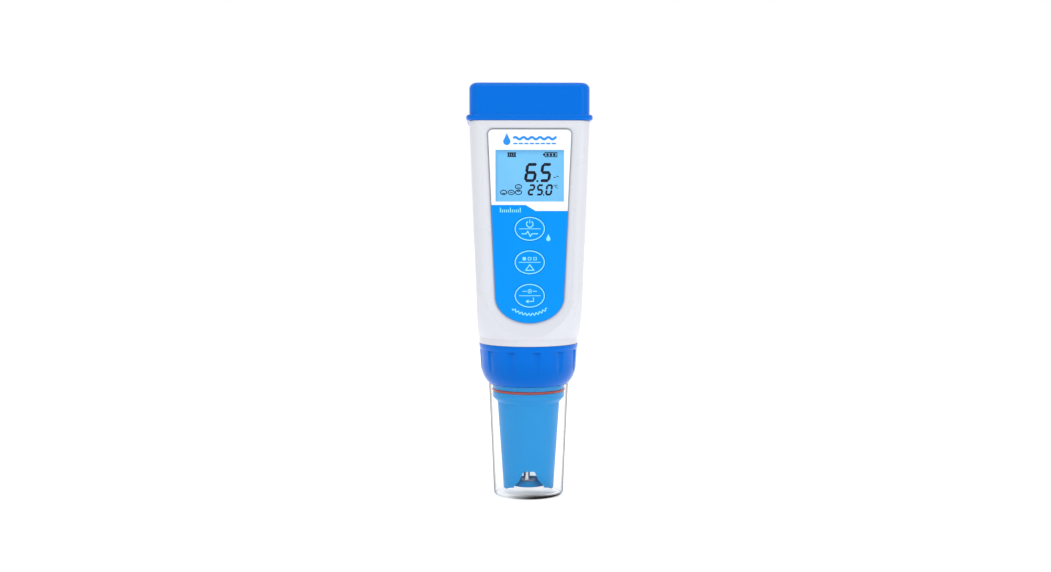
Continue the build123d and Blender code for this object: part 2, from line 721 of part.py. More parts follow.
with BuildPart() as probe_sleeve:
    turned(
        (SLEEVE_TIP_RADIUS - SLEEVE_WALL, SLEEVE_TIP),
        (SLEEVE_TIP_RADIUS, SLEEVE_TIP),
        (SLEEVE_TOP_RADIUS, SLEEVE_TOP),
        (PROBE_NECK, 41.2),
        (PROBE_NECK, PROBE_SEAL_Z - PROBE_GROOVE_HALF),
        (PROBE_NECK - PROBE_GROOVE_DEPTH, PROBE_SEAL_Z - PROBE_GROOVE_HALF),
        (PROBE_NECK - PROBE_GROOVE_DEPTH, PROBE_SEAL_Z + PROBE_GROOVE_HALF),
        (PROBE_NECK, PROBE_SEAL_Z + PROBE_GROOVE_HALF),
        (PROBE_NECK, RING_BOTTOM + RING_LIP + 0.05),
        (16.3, RING_BOTTOM + RING_LIP + 0.05),
        (16.3, SPIGOT_BOTTOM - 0.05),
        (SPIGOT_BORE - 0.15, SPIGOT_BOTTOM - 0.05),
        (SPIGOT_BORE - 0.15, 56.0),
        (9.0, 56.0),
        (9.0, 49.0),
        (SLEEVE_TOP_RADIUS - SLEEVE_WALL, SLEEVE_TOP),
    )
    # The rim is scooped out between two side prongs, and flared windows let the sample in.
    with BuildSketch(Plane.XZ):
        with Locations((0, SLEEVE_TIP - 0.15)):
            Ellipse(9.2, SCOOP)
        with BuildLine():
            FilletPolyline(
                (-7.3, 3.3),
                (-4.05, WINDOW_WAIST),
                (-2.3, WINDOW_TOP),
                (2.3, WINDOW_TOP),
                (4.05, WINDOW_WAIST),
                (7.3, 3.3),
                radius=0.9,
                close=True,
            )
        make_face()
    extrude(amount=20, both=True, mode=Mode.SUBTRACT)
keep(probe_sleeve, "probe_sleeve")

with BuildPart() as probe_seal:
    seal_radius = PROBE_NECK - PROBE_GROOVE_DEPTH + 0.05 + PROBE_SEAL_CORD / 2
    cord_ring(seal_radius, PROBE_SEAL_Z, PROBE_SEAL_CORD)
keep(probe_seal, "probe_seal")

STEM_RADIUS = 3.2
BULB_RADIUS = 4.1
BULB_Z = 8.6
PLUG_LOW = 12.6
TEMPERATURE_PLACE = (-0.9, -6.5)
JUNCTION_X = 6.4

with BuildPart() as bulb_guard:
    turned((5.3, 3.6), (6.9, 3.6), (6.5, 5.9), (5.6, 5.9))
    for side in (-1, 1):
        low, high = sorted((side * 6.2, side * 8.9))
        block((low, high), (-0.8, 0.8), (3.8, 5.2))
keep(bulb_guard, "bulb_guard")

with BuildPart() as glass_bulb:
    with BuildSketch(Plane.XZ):
        with Locations((0, BULB_Z)):
            Circle(BULB_RADIUS)
            Circle(BULB_RADIUS - 0.5, mode=Mode.SUBTRACT)
        with Locations((-5, BULB_Z)):
            Rectangle(10, 20, mode=Mode.SUBTRACT)
        with Locations((0, BULB_Z + BULB_RADIUS)):
            Rectangle(20, 1.8, mode=Mode.SUBTRACT)
    revolve(axis=Axis.Z)
keep(glass_bulb, "glass_bulb")

with BuildPart() as glass_stem:
    turned((STEM_RADIUS - 0.7, 11.8), (STEM_RADIUS, 11.8), (STEM_RADIUS, 46.0), (STEM_RADIUS - 0.7, 46.0))
keep(glass_stem, "glass_stem")

with BuildPart() as core_plug:
    turned(
        (STEM_RADIUS + 0.03, PLUG_LOW),
        (sleeve_radius(PLUG_LOW) - SLEEVE_WALL - 0.05, PLUG_LOW),
        (sleeve_radius(PLUG_LOW + 4) - SLEEVE_WALL - 0.05, PLUG_LOW + 4),
        (STEM_RADIUS + 0.03, PLUG_LOW + 4),
    )
    rod_along_z(*TEMPERATURE_PLACE, 1.35, PLUG_LOW, PLUG_LOW + 4, mode=Mode.SUBTRACT)
    rod_along_z(JUNCTION_X, 0, 1.25, PLUG_LOW, PLUG_LOW + 4, mode=Mode.SUBTRACT)
keep(core_plug, "core_plug")

with BuildPart() as temperature_pin:
    rod_along_z(*TEMPERATURE_PLACE, 1.3, 6.3, 24.0)
    fillet(temperature_pin.edges().sort_by(Axis.Z)[0], 1.1)
keep(temperature_pin, "temperature_pin")

with BuildPart() as reference_junction:
    rod_along_z(JUNCTION_X, 0, 1.2, PLUG_LOW - 0.6, PLUG_LOW + 4.6)
keep(reference_junction, "reference_junction")

with BuildPart() as inner_electrode:
    rod_along_z(0, 0, 0.5, 7.4, 49.8)
keep(inner_electrode, "inner_electrode")

with BuildPart() as reference_wire:
    rod_along_z(6.4, 0, 0.5, PLUG_LOW + 6, 49.8)
keep(reference_wire, "reference_wire")

with BuildPart() as probe_plug:
    turned((0, 49.9), (8.9, 49.9), (8.9, 57.2), (0, 57.2))
    with BuildSketch(Plane.XY.offset(49.9)):
        with PolarLocations(PIN_CIRCLE, PIN_COUNT):
            Circle(0.58)
    extrude(amount=7.3, mode=Mode.SUBTRACT)
keep(probe_plug, "probe_plug")

with BuildPart() as plug_pins:
    with BuildSketch(Plane.XY.offset(50.2)):
        with PolarLocations(PIN_CIRCLE, PIN_COUNT):
            Circle(0.55)
    extrude(amount=15.4)
    fillet(plug_pins.edges().group_by(Axis.Z)[-1], 0.3)
keep(plug_pins, "plug_pins")

# ---------------------------------------------------------------- storage cap
STORE_SEAT_LOW = 41.0
STORE_SEAT_RADIUS = 15.45
with BuildPart() as storage_cap:
    turned(
        (0, 0),
        (STORE_BASE_RADIUS, 0),
        (STORE_TOP_RADIUS, STORE_TOP),
        (STORE_SEAT_RADIUS, STORE_TOP),
        (STORE_SEAT_RADIUS, STORE_SEAT_LOW),
        (STORE_SEAT_RADIUS - 0.35, STORE_SEAT_LOW - 1.0),
        (STORE_BASE_RADIUS - 1.3, STORE_FLOOR),
        (0, STORE_FLOOR),
    )
    fillet(storage_cap.edges().group_by(Axis.Z)[0], 1.2)
keep(storage_cap, "storage_cap")

# ---------------------------------------------------------------- export
os.makedirs("parts", exist_ok=True)
for name, part in made.items():
    export_step(part, f"parts/{name}.step")
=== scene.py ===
"""The looks of the pocket pH meter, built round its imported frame.

Everything is in metres in the row frame: +Z is up and the display faces -Y. Sizes are written in
millimetres and turned into metres by MM.
"""

import json
import math

import bmesh
import bpy
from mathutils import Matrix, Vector


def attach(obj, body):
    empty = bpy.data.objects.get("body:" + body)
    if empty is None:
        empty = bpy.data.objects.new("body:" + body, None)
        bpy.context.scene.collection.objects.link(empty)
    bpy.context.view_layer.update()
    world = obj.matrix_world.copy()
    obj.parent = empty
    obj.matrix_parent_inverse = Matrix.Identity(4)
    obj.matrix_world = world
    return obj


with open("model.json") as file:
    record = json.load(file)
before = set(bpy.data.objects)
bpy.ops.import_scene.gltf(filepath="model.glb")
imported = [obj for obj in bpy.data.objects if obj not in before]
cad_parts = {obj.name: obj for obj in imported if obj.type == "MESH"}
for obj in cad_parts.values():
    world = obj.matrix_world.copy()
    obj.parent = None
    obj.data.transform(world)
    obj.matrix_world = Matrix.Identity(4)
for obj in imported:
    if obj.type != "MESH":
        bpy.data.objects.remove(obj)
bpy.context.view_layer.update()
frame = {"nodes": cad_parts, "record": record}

MM = 0.001
NODES = frame["nodes"]


# ---------------------------------------------------------------- camera, floor and light
CAMERA_DISTANCE = 546 * MM
CAMERA_HEIGHT = 119 * MM
CAMERA_LEFT = 13.3 * MM
CAMERA_TURN = math.radians(1.263)
CAMERA_DIP = math.radians(3.304)
LENS = 44.71
# How bright the room is, from straight in front of the meter (0) to straight behind it (1).
ROOM = ((0.0, 0.78), (0.28, 0.76), (0.50, 0.70), (0.66, 0.78), (0.82, 1.0))


def make_camera():
    data = bpy.data.cameras.new("camera")
    data.lens = LENS
    data.sensor_width = 36
    camera = bpy.data.objects.new("camera", data)
    camera.location = (-CAMERA_LEFT, -CAMERA_DISTANCE, CAMERA_HEIGHT)
    camera.rotation_euler = (math.pi / 2 - CAMERA_DIP, 0, -CAMERA_TURN)
    bpy.context.scene.collection.objects.link(camera)
    bpy.context.scene.camera = camera


def soft_light(name, place, width, height, power):
    """A rectangular softbox aimed at the middle of the meter."""
    data = bpy.data.lights.new(name, "AREA")
    data.shape = "RECTANGLE"
    data.size = width
    data.size_y = height
    data.energy = power
    light = bpy.data.objects.new(name, data)
    light.location = place
    aim = Vector((0, 0, 90 * MM)) - Vector(place)
    light.rotation_euler = aim.to_track_quat("-Z", "Y").to_euler()
    bpy.context.scene.collection.objects.link(light)


def make_studio():
    scene = bpy.context.scene
    scene.view_settings.view_transform = "Standard"
    world = bpy.data.worlds.new("studio")
    world.use_nodes = True
    scene.world = world
    tree = world.node_tree
    direction = tree.nodes.new("ShaderNodeTexCoord")
    parts = tree.nodes.new("ShaderNodeSeparateXYZ")
    depth = tree.nodes.new("ShaderNodeMapRange")
    for socket, number in zip(depth.inputs[1:5], (-1, 1, 0, 1)):
        socket.default_value = number
    room = tree.nodes.new("ShaderNodeValToRGB")
    stops = room.color_ramp.elements
    while len(stops) < len(ROOM):
        stops.new(0.5)
    for stop, (position, level) in zip(stops, ROOM):
        stop.position = position
        stop.color = (level, level, level, 1)
    tree.links.new(direction.outputs["Generated"], parts.inputs[0])
    tree.links.new(parts.outputs["Y"], depth.inputs["Value"])
    tree.links.new(depth.outputs["Result"], room.inputs["Fac"])
    tree.links.new(room.outputs["Color"], tree.nodes["Background"].inputs["Color"])
    soft_light("key_light", (0.62, -0.62, 0.35), 0.06, 0.8, 1.0)
    soft_light("fill_light", (-0.42, -0.78, 0.45), 0.05, 0.8, 0.25)
    soft_light("top_light", (0.0, -0.3, 1.0), 1.0, 0.8, 3.0)


# ---------------------------------------------------------------- node materials
class Recipe:
    """One node material with a Principled surface, built up by short calls."""

    def __init__(self, name, roughness=0.4, specular=0.5, **sockets):
        self.material = bpy.data.materials.new(name)
        self.material.use_nodes = True
        self.tree = self.material.node_tree
        self.surface = self.tree.nodes["Principled BSDF"]
        self.set("Roughness", roughness)
        self.set("Specular IOR Level", specular)
        for socket, value in sockets.items():
            self.set(socket.replace("_", " "), value)
        self.place = self.add("ShaderNodeTexCoord").outputs["Object"]

    def set(self, socket, value):
        """A value that is the same all over, set on the surface's own socket."""
        self.surface.inputs[socket].default_value = value

    def add(self, kind, **settings):
        node = self.tree.nodes.new(kind)
        for key, value in settings.items():
            setattr(node, key, value)
        return node

    def join(self, source, target):
        self.tree.links.new(source, target)

    def axis(self, letter):
        """The object's own X, Y or Z, in metres."""
        node = self.add("ShaderNodeSeparateXYZ")
        self.join(self.place, node.inputs[0])
        return node.outputs[letter]

    def maths(self, operation, first, second=None):
        """A maths node on one or two values. Plain numbers are allowed."""
        node = self.add("ShaderNodeMath", operation=operation)
        for socket, value in zip(node.inputs, (first, second)):
            if isinstance(value, bpy.types.NodeSocket):
                self.join(value, socket)
            elif value is not None:
                socket.default_value = value
        return node.outputs[0]

    def noise(self, size, detail=2.0, stretch=(1, 1, 1)):
        """Noise whose patches are about size metres across."""
        mapping = self.add("ShaderNodeMapping")
        mapping.inputs["Scale"].default_value = tuple(s / size for s in stretch)
        self.join(self.place, mapping.inputs["Vector"])
        node = self.add("ShaderNodeTexNoise")
        node.inputs["Scale"].default_value = 1.0
        node.inputs["Detail"].default_value = detail
        self.join(mapping.outputs["Vector"], node.inputs["Vector"])
        return node.outputs["Fac"]

    def spread(self, value, low, high, start=0.3, end=0.7):
        """value, stretched from start..end to low..high."""
        node = self.add("ShaderNodeMapRange")
        for socket, number in zip(node.inputs[1:5], (start, end, low, high)):
            socket.default_value = number
        self.join(value, node.inputs["Value"])
        return node.outputs["Result"]

    def blend(self, share, first, second):
        """A colour from first to second by share."""
        node = self.add("ShaderNodeMix", data_type="RGBA")
        for socket, colour in zip(node.inputs[6:8], (first, second)):
            if isinstance(colour, bpy.types.NodeSocket):
                self.join(colour, socket)
            else:
                socket.default_value = (*colour, 1)
        self.join(share, node.inputs[0])
        return node.outputs[2]

    def steps(self, value, *stops):
        """Hard colour steps from (position, colour) stops along value 0..1."""
        node = self.add("ShaderNodeValToRGB")
        node.color_ramp.interpolation = "CONSTANT"
        points = node.color_ramp.elements
        while len(points) < len(stops):
            points.new(0.5)
        for point, (position, colour) in zip(points, stops):
            point.position = position
            point.color = (*colour, 1)
        self.join(value, node.inputs["Fac"])
        return node.outputs["Color"]

    def colour(self, output):
        self.join(output, self.surface.inputs["Base Color"])
        return self

    def relief(self, *layers, edge=0.0):
        """Bump layers of (height value, depth in metres), over edges rounded by edge metres."""
        normal = None
        if edge:
            rounded = self.add("ShaderNodeBevel", samples=6)
            rounded.inputs["Radius"].default_value = edge
            normal = rounded.outputs["Normal"]
        for height, depth in layers:
            bump = self.add("ShaderNodeBump")
            bump.inputs["Distance"].default_value = depth
            self.join(height, bump.inputs["Height"])
            if normal:
                self.join(normal, bump.inputs["Normal"])
            normal = bump.outputs["Normal"]
        self.join(normal, self.surface.inputs["Normal"])
        return self


def tint(colour, factor):
    return tuple(min(1.0, c * factor) for c in colour)


def mottled(recipe, first, second, size=14 * MM):
    """Soft patches between two close colours."""
    flow = recipe.noise(size, 3, stretch=(1, 1, 0.45))
    return recipe.blend(recipe.spread(flow, 0, 1), first, second)


def moulded(
    name, colour, roughness, specular=0.5, grain=0.000002, edge=0.0002, painted_crease_shade=0.0, painted_shade_below=None, **sockets
):
    """Injection-moulded plastic: faint flow patches, slightly uneven gloss and a very fine grain.

    Painted shade: within the distance given the colour darkens near inner corners, and between the pair of
    heights given it darkens from the upper height down to the lower one.
    """
    recipe = Recipe(name, roughness, specular, **sockets)
    shade = mottled(recipe, tint(colour, 0.994), tint(colour, 1.004), 22 * MM)
    # Painted shade: ambient occlusion darkens the colour in inner corners.
    if painted_crease_shade:
        corner = recipe.add("ShaderNodeAmbientOcclusion", samples=8)
        corner.inputs["Distance"].default_value = painted_crease_shade
        unshaded_share = recipe.spread(corner.outputs["AO"], 0, 1, 0.35, 0.95)
        shade = recipe.blend(unshaded_share, tint(colour, 0.6), shade)
    # Painted shade: the colour darkens towards the bottom between the two heights.
    if painted_shade_below:
        height = recipe.spread(recipe.axis("Z"), 0, 1, *painted_shade_below)
        shade = recipe.blend(height, tint(colour, 0.86), shade)
    recipe.colour(shade)
    smears = recipe.noise(8 * MM, 2)
    recipe.join(
        recipe.spread(smears, roughness - 0.01, roughness + 0.02), recipe.surface.inputs["Roughness"]
    )
    fine = recipe.noise(0.22 * MM, 2)
    return recipe.relief((fine, grain), edge=edge).material


def metal(name, colour, roughness, stretch=(1, 1, 1)):
    """Bright metal with fine drawing marks and slightly uneven gloss."""
    recipe = Recipe(name, roughness, 0.5, Metallic=1.0)
    recipe.colour(mottled(recipe, tint(colour, 0.9), tint(colour, 1.05), 3 * MM))
    wear = recipe.noise(1.5 * MM, 4)
    recipe.join(
        recipe.spread(wear, roughness - 0.06, roughness + 0.08), recipe.surface.inputs["Roughness"]
    )
    marks = recipe.noise(0.15 * MM, 2, stretch)
    return recipe.relief((marks, 0.000004), edge=0.00008).material


# A cone inside the storage cap's wall: its radius at the floor and at the cap's top.
WALL_LOW = 14.0 * MM
WALL_HIGH = 16.1 * MM
STORE_TOP = 46.8 * MM


def outer_wall(recipe):
    """1 on the storage cap's outside wall and its rounded lower corner, and 0 on its other faces."""
    across = recipe.axis("X")
    depth = recipe.axis("Y")
    height = recipe.axis("Z")
    squares = [recipe.maths("MULTIPLY", side, side) for side in (across, depth)]
    radius = recipe.maths("SQRT", recipe.maths("ADD", *squares))
    wall = recipe.spread(height, WALL_LOW, WALL_HIGH, 0, STORE_TOP)
    outside = recipe.maths("GREATER_THAN", radius, wall)
    corner = recipe.maths("LESS_THAN", height, 1.3 * MM)
    above_base = recipe.maths("GREATER_THAN", height, 0.02 * MM)
    return recipe.maths("MULTIPLY", recipe.maths("MAXIMUM", outside, corner), above_base)


def see_through(name, face, edge_shade, edge_shade_start, gloss, roughness, painted_foot_shade=None):
    """Clear plastic or glass: light passes straight through, and where it is seen side-on its colour is
    darkened, a painted shade that stands for dark surroundings seen through the edges.

    With a colour given for the thick bottom it is the storage cap: only its outside wall draws the painted
    dark outline, and its thick bottom is darkened towards that colour as painted shade.
    """
    recipe = Recipe(name, roughness, 0.5, Base_Color=(1, 1, 1, 1), Metallic=1.0)
    ripple = recipe.noise(9 * MM, 2, stretch=(1, 1, 0.3))
    recipe.join(recipe.spread(ripple, roughness, roughness + 0.05), recipe.surface.inputs["Roughness"])
    recipe.relief((ripple, 0.00004))
    weight = recipe.add("ShaderNodeLayerWeight")
    weight.inputs["Blend"].default_value = 0.5
    side_on = weight.outputs["Facing"]
    # Painted shade: seen side-on, the colour let through turns towards the dark edge colour.
    edge_shade_share = recipe.spread(side_on, 0, 1, edge_shade_start, 1.0)
    if painted_foot_shade:
        edge_shade_share = recipe.maths("MULTIPLY", edge_shade_share, outer_wall(recipe))
    shade = recipe.blend(edge_shade_share, face, edge_shade)
    if painted_foot_shade:
        # Painted shade: the thick bottom is darkened, most of all at the front on the right, where it
        # bends light away from below.
        low = recipe.spread(recipe.axis("Z"), 1, 0, 0.9 * MM, 1.9 * MM)
        right = recipe.spread(recipe.axis("X"), 0.1, 1, -9 * MM, 2 * MM)
        front = recipe.spread(recipe.axis("Y"), 1, 0, -7 * MM, -4 * MM)
        share = recipe.maths("MULTIPLY", recipe.maths("MULTIPLY", low, right), front)
        shade = recipe.blend(share, shade, painted_foot_shade)
    clear = recipe.add("ShaderNodeBsdfTransparent")
    recipe.join(shade, clear.inputs["Color"])
    mix = recipe.add("ShaderNodeMixShader")
    grazing = recipe.maths("POWER", side_on, 4.0)
    recipe.join(recipe.spread(grazing, gloss, 0.35, 0, 1), mix.inputs[0])
    recipe.join(clear.outputs[0], mix.inputs[1])
    recipe.join(recipe.surface.outputs[0], mix.inputs[2])
    recipe.join(mix.outputs[0], recipe.tree.nodes["Material Output"].inputs["Surface"])
    return recipe.material


# ---------------------------------------------------------------- colours
WHITE_ABS = (0.648, 0.658, 0.712)
CAP_BLUE = (0.0, 0.138, 0.635)
BLUE_GLOSS = (0.25, 0.55, 1.0, 1)
RING_BLUE = (0.0, 0.140, 0.63)
SLEEVE_BLUE = (0.008, 0.275, 0.66)
FILM_WHITE = (0.84, 0.88, 0.92)
PRINT_BLUE = (0.0, 0.268, 0.86)
PRINT_LIGHT = (0.24, 0.70, 1.0)
LCD_LIGHT = (0.19, 0.58, 0.97)
# The second display colour is a painted shadow along the display's top and left edges.
LCD_PAINTED_SHADOW = (0.13, 0.44, 0.80)
LCD_INK = (0.0, 0.003, 0.014)
SEAL_RED = (0.42, 0.05, 0.04)


# Where the blue print ends on the film: it steps down by a short slope.
PRINT_HIGH = 121.3 * MM
PRINT_LOW = 118.9 * MM
SLOPE_LEFT = -1.66 * MM
SLOPE_RIGHT = 2.34 * MM


def film_look():
    recipe = Recipe("printed_film", 0.30, 0.08)
    across = recipe.axis("X")
    line = recipe.spread(across, PRINT_HIGH, PRINT_LOW, SLOPE_LEFT, SLOPE_RIGHT)
    printed = recipe.maths("LESS_THAN", recipe.axis("Z"), line)
    white = mottled(recipe, tint(FILM_WHITE, 0.985), tint(FILM_WHITE, 1.01))
    blue = mottled(recipe, tint(PRINT_BLUE, 0.97), tint(PRINT_BLUE, 1.02))
    recipe.colour(recipe.blend(printed, white, blue))
    waves = recipe.noise(11 * MM, 2)
    fine = recipe.noise(0.12 * MM, 2)
    return recipe.relief((waves, 0.00003), (fine, 0.000003), edge=0.00012).material


def ink(name, colour, painted_glow=0.0):
    """A thin layer of printed ink with slightly uneven cover; with a glow given, it also gives off light
    as painted light.
    """
    recipe = Recipe(name, 0.4, 0.2)
    cover = mottled(recipe, tint(colour, 0.93), colour, 1.2 * MM)
    recipe.colour(cover)
    # Painted light: the ink glows though it is no lamp.
    if painted_glow:
        recipe.join(cover, recipe.surface.inputs["Emission Color"])
        recipe.set("Emission Strength", painted_glow)
    return recipe.relief((recipe.noise(0.1 * MM, 2), 0.000003)).material


def edge_shadow_look():
    """A painted shadow line round the film's edge: grey beside the white print and dark blue beside the
    blue print.
    """
    recipe = Recipe("edge_shadow_ink", 0.4, 0.2)
    height = recipe.spread(recipe.axis("Z"), 0, 1, 100 * MM, 125 * MM)
    grey = mottled(recipe, (0.13, 0.14, 0.16), (0.17, 0.18, 0.20), 1.2 * MM)
    recipe.colour(recipe.blend(height, (0.03, 0.20, 0.52), grey))
    return recipe.relief((recipe.noise(0.1 * MM, 2), 0.000003)).material


def display_look():
    """The glowing glass: even blue light, with a painted shadow that dims it a little along the top and
    left edges.
    """
    recipe = Recipe("lit_display", 0.35, 0.1)
    # Painted shadow: the glow dims towards the top and left edges.
    top = recipe.spread(recipe.axis("Z"), 0, 1, 141.3 * MM, 143.4 * MM)
    left = recipe.spread(recipe.axis("X"), 1, 0, -13.9 * MM, -12.4 * MM)
    edge = recipe.maths("MAXIMUM", top, left)
    glow_with_painted_shadow = recipe.blend(edge, LCD_LIGHT, LCD_PAINTED_SHADOW)
    cloud = recipe.spread(recipe.noise(9 * MM, 2), 0.95, 1.0)
    recipe.join(glow_with_painted_shadow, recipe.surface.inputs["Emission Color"])
    recipe.join(cloud, recipe.surface.inputs["Emission Strength"])
    recipe.colour(mottled(recipe, (0.01, 0.03, 0.05), (0.02, 0.04, 0.06)))
    return recipe.relief((recipe.noise(0.2 * MM, 1), 0.000002)).material


def board_look():
    """Green solder mask over a grid of tracks."""
    recipe = Recipe("solder_mask", 0.35, 0.5)
    bricks = recipe.add("ShaderNodeTexBrick")
    bricks.inputs["Scale"].default_value = 320
    bricks.inputs["Mortar Size"].default_value = 0.05
    bricks.inputs["Color1"].default_value = (0.012, 0.12, 0.05, 1)
    bricks.inputs["Color2"].default_value = (0.016, 0.15, 0.06, 1)
    bricks.inputs["Mortar"].default_value = (0.04, 0.28, 0.12, 1)
    turn = recipe.add("ShaderNodeMapping")
    turn.inputs["Rotation"].default_value = (math.pi / 2, 0, 0)
    recipe.join(recipe.place, turn.inputs["Vector"])
    recipe.join(turn.outputs["Vector"], bricks.inputs["Vector"])
    recipe.colour(bricks.outputs["Color"])
    return recipe.relief((bricks.outputs["Fac"], 0.00002)).material


def cell_look():
    """A battery's printed jacket: a copper-coloured shoulder over a dark body, with a steel nub."""
    recipe = Recipe("cell_jacket", 0.28, 0.5, Metallic=0.6)
    height = recipe.spread(recipe.axis("Z"), 0, 1, 118.6 * MM, 163.1 * MM)
    bands = recipe.steps(
        height,
        (0.0, (0.6, 0.6, 0.6)),
        (0.02, (0.02, 0.025, 0.035)),
        (0.66, (0.55, 0.55, 0.56)),
        (0.68, (0.50, 0.24, 0.08)),
        (0.965, (0.6, 0.6, 0.6)),
    )
    recipe.colour(bands)
    return recipe.relief((recipe.noise(0.8 * MM, 3), 0.00001), edge=0.0001).material


def patches_look():
    """Printed colour patches from acid red to alkaline violet."""
    recipe = Recipe("patch_ink", 0.45, 0.3)
    share = recipe.spread(recipe.axis("X"), 0, 1, -10.5 * MM, 10.5 * MM)
    row = recipe.steps(
        share,
        (0.0, (0.60, 0.03, 0.02)),
        (0.143, (0.80, 0.20, 0.02)),
        (0.286, (0.85, 0.55, 0.03)),
        (0.429, (0.30, 0.55, 0.05)),
        (0.571, (0.02, 0.35, 0.15)),
        (0.714, (0.02, 0.20, 0.55)),
        (0.857, (0.16, 0.04, 0.35)),
    )
    recipe.colour(row)
    return recipe.relief((recipe.noise(0.3 * MM, 2), 0.000003)).material


def porous(name, first, second, roughness, depth):
    """Rubber, ceramic and resin: an open grain with no gloss."""
    recipe = Recipe(name, roughness, 0.3)
    recipe.colour(mottled(recipe, first, second, 2 * MM))
    return recipe.relief((recipe.noise(0.3 * MM, 4), depth), edge=0.0001).material


def make_looks():
    """Every material slot in the record, with its finish."""
    looks = {
        # The white case's colour holds painted shade in its inner corners.
        "case_white": moulded("abs_white", WHITE_ABS, 0.28, 0.45, edge=0.0005, painted_crease_shade=2 * MM),
        "cap_blue": moulded(
            "abs_blue", CAP_BLUE, 0.18, 0.30, edge=0.0005, Specular_Tint=BLUE_GLOSS
        ),
        # The ring's colour holds painted shade in its inner corners and towards its bottom.
        "ring_blue": moulded(
            "abs_ring_blue",
            RING_BLUE,
            0.14,
            0.22,
            edge=0.0004,
            painted_crease_shade=1.5 * MM,
            painted_shade_below=(51 * MM, 58.5 * MM),
            Specular_Tint=BLUE_GLOSS,
        ),
        "sleeve_blue": moulded("abs_sleeve_blue", SLEEVE_BLUE, 0.36, 0.12, Specular_Tint=BLUE_GLOSS),
        # The clear cap's colour holds a painted dark outline and painted shade in its thick bottom.
        "cap_clear": see_through(
            "clear_cap", (0.99, 0.99, 0.99), (0.0, 0.0, 0.0), 0.60, 0.012, 0.03, painted_foot_shade=(0.01, 0.01, 0.01)
        ),
        "film_print": film_look(),
        "key_print": moulded("key_film", PRINT_BLUE, 0.30, 0.08, grain=0.000003, edge=0.00015),
        "lens_clear": see_through("window", (0.995, 0.997, 1.0), (0.85, 0.9, 0.95), 0.7, 0.004, 0.05),
        "lcd_blue": display_look(),
        "backlight_white": moulded("light_guide", (0.85, 0.86, 0.86), 0.5, 0.4),
        "seal_red": porous("silicone_red", tint(SEAL_RED, 0.9), SEAL_RED, 0.42, 0.00001),
        "seal_black": porous("rubber_black", (0.012, 0.012, 0.013), (0.03, 0.03, 0.03), 0.6, 0.00003),
        "board_green": board_look(),
        "chip_black": porous("chip_epoxy", (0.015, 0.015, 0.016), (0.03, 0.03, 0.03), 0.55, 0.00002),
        "inner_black": moulded("abs_black", (0.03, 0.03, 0.034), 0.42, 0.4),
        "inner_white": moulded("nylon_white", (0.72, 0.71, 0.67), 0.45, 0.4),
        "steel": metal("bright_steel", (0.62, 0.62, 0.63), 0.28, (4, 4, 0.5)),
        "gold": metal("gold_flash", (0.83, 0.58, 0.22), 0.25),
        "cell_jacket": cell_look(),
        "label_silver": metal("label_foil", (0.70, 0.71, 0.73), 0.5, (0.2, 1, 4)),
        "lead_grey": porous("lead_insulation", (0.20, 0.20, 0.21), (0.26, 0.26, 0.27), 0.5, 0.00001),
        "bulb_glass": see_through("electrode_glass", (0.93, 0.97, 0.99), (0.3, 0.4, 0.5), 0.6, 0.04, 0.02),
        "core_dark": porous("potting_resin", (0.012, 0.018, 0.030), (0.025, 0.03, 0.045), 0.35, 0.00002),
        "junction_white": porous("porous_ceramic", (0.62, 0.61, 0.56), (0.75, 0.74, 0.70), 0.9, 0.00006),
        "silver_wire": metal("silver_wire", (0.72, 0.71, 0.69), 0.3, (4, 4, 0.4)),
    }
    for row in frame["record"]["subparts"]:
        NODES[row["node"]].material_slots[0].material = looks[row["material_slot"]]


